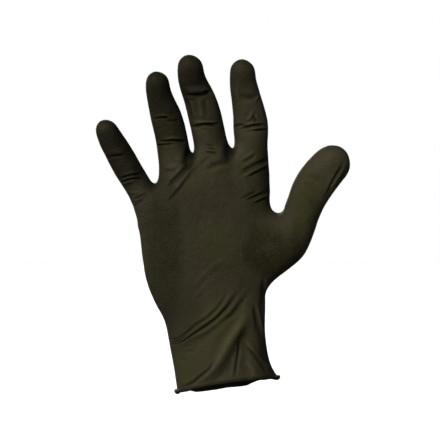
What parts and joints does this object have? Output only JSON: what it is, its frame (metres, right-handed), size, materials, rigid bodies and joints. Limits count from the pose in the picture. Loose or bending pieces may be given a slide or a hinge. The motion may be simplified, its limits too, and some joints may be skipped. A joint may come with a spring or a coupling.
{
  "type": "nitrile exam glove",
  "caption": "Disposable black nitrile exam glove for the right hand, shown filled as worn, open at the cuff, with a rolled hem, joint creases and slack folds at the wrist.",
  "frame": {"origin": "the middle of the cuff's opening, at the height of the hem's middle, where the wrist goes in", "axes": "+Z from the cuff to the fingertips, +X towards the thumb's side, the palm faces -Y and the back +Y"},
  "size_m": [0.1807, 0.0571, 0.2401],
  "materials": {
    "nitrile_film": "satin-matte olive-black nitrile, with a fine micro-roughened grip on the palm and thumb"
  },
  "bodies": {
    "root": {"glove_film": "nitrile_film"}
  },
  "joints": []
}
